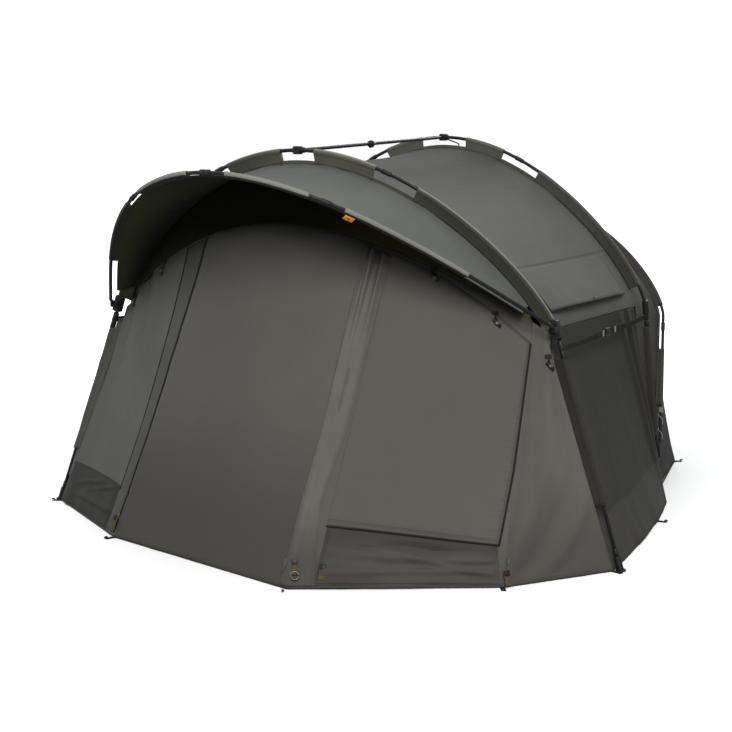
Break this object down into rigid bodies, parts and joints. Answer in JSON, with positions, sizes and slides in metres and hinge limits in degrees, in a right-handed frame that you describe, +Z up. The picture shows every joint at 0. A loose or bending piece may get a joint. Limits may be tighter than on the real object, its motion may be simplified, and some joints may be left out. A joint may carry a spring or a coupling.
{
  "type": "bivvy tent",
  "caption": "Bivvy tent: bent ribs on folding blocks, peaked hood, standoff rib webs, ridge bar, side vent cowls, straps with buckles, zip door",
  "frame": {"origin": "centre of the ground rectangle that the whole tent covers, on the floor", "axes": "+X to the right of a person who faces the tent's front, +Y from the front to the rear, +Z up"},
  "size_m": [2.842, 3.2485, 1.7374],
  "materials": {
    "front_rib_tube_left": "black anodised tube, satin, slightly scuffed",
    "front_rib_tube_right": "black anodised tube, satin, slightly scuffed",
    "rear_rib_tube_left": "black anodised tube, satin, slightly scuffed",
    "rear_rib_tube_right": "black anodised tube, satin, slightly scuffed",
    "front_rib_sleeve": "black anodised tube, satin, slightly scuffed",
    "rear_rib_sleeve": "black anodised tube, satin, slightly scuffed",
    "front_leg_left": "black anodised tube, satin, slightly scuffed",
    "front_leg_right": "black anodised tube, satin, slightly scuffed",
    "front_foot_left": "black moulded nylon, fine grain",
    "front_foot_right": "black moulded nylon, fine grain",
    "front_block_left": "black moulded nylon, fine grain",
    "front_block_right": "black moulded nylon, fine grain",
    "rear_leg_left": "black anodised tube, satin, slightly scuffed",
    "rear_leg_right": "black anodised tube, satin, slightly scuffed",
    "rear_collar_left": "black moulded nylon, fine grain",
    "rear_collar_right": "black moulded nylon, fine grain",
    "rear_block_left": "black moulded nylon, fine grain",
    "rear_block_right": "black moulded nylon, fine grain",
    "front_rib_web": "olive grey-green ripstop, taut, faint sheen",
    "rear_rib_web": "olive grey-green ripstop, taut, faint sheen",
    "roof": "olive grey-green ripstop, taut, faint sheen",
    "front_hood": "olive grey-green ripstop, taut, faint sheen",
    "back_hood": "olive grey-green ripstop, taut, faint sheen",
    "back_wall": "olive grey ripstop, softly wrinkled",
    "side_wall_left": "dark olive cloth in shade",
    "side_wall_right": "dark olive cloth in shade",
    "left_panel": "olive grey ripstop, softly wrinkled",
    "window_panel": "olive grey ripstop, softly wrinkled",
    "right_panel": "olive grey ripstop, softly wrinkled",
    "valance": "dark olive cloth in shade",
    "groundsheet": "dark coated groundsheet",
    "bar_bracket": "black moulded nylon, fine grain",
    "bar_clip": "black moulded nylon, fine grain",
    "strap_front_left": "dark olive webbing",
    "strap_front_right": "dark olive webbing",
    "strap_rear_left": "dark olive webbing",
    "strap_rear_right": "dark olive webbing",
    "buckle_socket_left": "black moulded nylon, fine grain",
    "buckle_socket_right": "black moulded nylon, fine grain",
    "hood_rib_tube_left": "black anodised tube, satin, slightly scuffed",
    "hood_rib_tube_right": "black anodised tube, satin, slightly scuffed",
    "hood_rib_sleeve": "black anodised tube, satin, slightly scuffed",
    "hood_rib_web": "olive grey-green ripstop, taut, faint sheen",
    "rib_tab": "plain orange tab",
    "back_rib_tube_left": "black anodised tube, satin, slightly scuffed",
    "back_rib_tube_right": "black anodised tube, satin, slightly scuffed",
    "back_rib_sleeve": "black anodised tube, satin, slightly scuffed",
    "back_rib_web": "olive grey-green ripstop, taut, faint sheen",
    "door": "olive grey ripstop, softly wrinkled",
    "storm_flap": "olive grey ripstop, softly wrinkled",
    "vent_cowl_left": "olive grey-green ripstop, taut, faint sheen",
    "vent_cowl_right": "olive grey-green ripstop, taut, faint sheen",
    "ridge_bar": "black anodised tube, satin, slightly scuffed",
    "buckle_plug_left": "black moulded nylon, fine grain",
    "buckle_plug_right": "black moulded nylon, fine grain",
    "zip_slider_left": "black moulded nylon, fine grain",
    "zip_slider_door": "black moulded nylon, fine grain",
    "zip_slider_window": "black moulded nylon, fine grain"
  },
  "bodies": {
    "shelter": {"front_rib_tube_left": "front_rib_tube_left", "front_rib_tube_right": "front_rib_tube_right", "rear_rib_tube_left": "rear_rib_tube_left", "rear_rib_tube_right": "rear_rib_tube_right", "front_rib_sleeve": "front_rib_sleeve", "rear_rib_sleeve": "rear_rib_sleeve", "front_leg_left": "front_leg_left", "front_leg_right": "front_leg_right", "front_foot_left": "front_foot_left", "front_foot_right": "front_foot_right", "front_block_left": "front_block_left", "front_block_right": "front_block_right", "rear_leg_left": "rear_leg_left", "rear_leg_right": "rear_leg_right", "rear_collar_left": "rear_collar_left", "rear_collar_right": "rear_collar_right", "rear_block_left": "rear_block_left", "rear_block_right": "rear_block_right", "front_rib_web": "front_rib_web", "rear_rib_web": "rear_rib_web", "roof": "roof", "front_hood": "front_hood", "back_hood": "back_hood", "back_wall": "back_wall", "side_wall_left": "side_wall_left", "side_wall_right": "side_wall_right", "left_panel": "left_panel", "window_panel": "window_panel", "right_panel": "right_panel", "valance": "valance", "groundsheet": "groundsheet", "bar_bracket": "bar_bracket", "bar_clip": "bar_clip", "strap_front_left": "strap_front_left", "strap_front_right": "strap_front_right", "strap_rear_left": "strap_rear_left", "strap_rear_right": "strap_rear_right", "buckle_socket_left": "buckle_socket_left", "buckle_socket_right": "buckle_socket_right"},
    "hood_frame": {"hood_rib_tube_left": "hood_rib_tube_left", "hood_rib_tube_right": "hood_rib_tube_right", "hood_rib_sleeve": "hood_rib_sleeve", "hood_rib_web": "hood_rib_web", "rib_tab": "rib_tab"},
    "back_frame": {"back_rib_tube_left": "back_rib_tube_left", "back_rib_tube_right": "back_rib_tube_right", "back_rib_sleeve": "back_rib_sleeve", "back_rib_web": "back_rib_web"},
    "door_leaf": {"door": "door", "storm_flap": "storm_flap"},
    "cowl_left": {"vent_cowl_left": "vent_cowl_left"},
    "cowl_right": {"vent_cowl_right": "vent_cowl_right"},
    "bar": {"ridge_bar": "ridge_bar"},
    "plug_left": {"buckle_plug_left": "buckle_plug_left"},
    "plug_right": {"buckle_plug_right": "buckle_plug_right"},
    "slider_left": {"zip_slider_left": "zip_slider_left"},
    "slider_door": {"zip_slider_door": "zip_slider_door"},
    "slider_window": {"zip_slider_window": "zip_slider_window"}
  },
  "joints": [
    {"name": "hood_fold", "type": "hinge", "parent": "shelter", "child": "hood_frame", "pos_m": [0, -0.7023, 0.957], "axis": [-1, 0, 0], "range_deg": [0, 28], "deforming": ["front_hood"]},
    {"name": "back_fold", "type": "hinge", "parent": "shelter", "child": "back_frame", "pos_m": [0, 0.8177, 0.19], "axis": [1, 0, 0], "range_deg": [0, 26], "deforming": ["back_hood", "back_wall"]},
    {"name": "door_swing", "type": "hinge", "parent": "shelter", "child": "door_leaf", "pos_m": [-0.74, -1.2273, 0.0045], "axis": [0.9497, -0.3133, 0], "range_deg": [0, 95]},
    {"name": "cowl_left_lift", "type": "hinge", "parent": "shelter", "child": "cowl_left", "pos_m": [-0.86282, -0.54998, 1.18154], "axis": [0.0135, 0.9998, -0.0141], "range_deg": [0, 30]},
    {"name": "cowl_right_lift", "type": "hinge", "parent": "shelter", "child": "cowl_right", "pos_m": [0.84804, 0.54242, 1.16617], "axis": [0.0135, -0.9998, 0.0141], "range_deg": [0, 30]},
    {"name": "bar_lift", "type": "hinge", "parent": "shelter", "child": "bar", "pos_m": [0, -0.85386, 1.67919], "axis": [1, 0, 0], "range_deg": [0, 40]},
    {"name": "plug_left_pull", "type": "slide", "parent": "shelter", "child": "plug_left", "axis": [0.0483, 0.9987, -0.0144], "range_m": [0, 0.045]},
    {"name": "plug_right_pull", "type": "slide", "parent": "shelter", "child": "plug_right", "axis": [-0.0483, 0.9987, -0.0144], "range_m": [0, 0.045]},
    {"name": "zip_left_run", "type": "slide", "parent": "shelter", "child": "slider_left", "axis": [0.3021, 0.1536, 0.9408], "range_m": [0, 1.15]},
    {"name": "zip_door_run", "type": "slide", "parent": "door_leaf", "child": "slider_door", "axis": [0.0641, 0.4025, 0.9132], "range_m": [0, 1.1]},
    {"name": "zip_window_run", "type": "slide", "parent": "shelter", "child": "slider_window", "axis": [-0.069, 0.449, 0.8909], "range_m": [0, 0.75]}
  ]
}
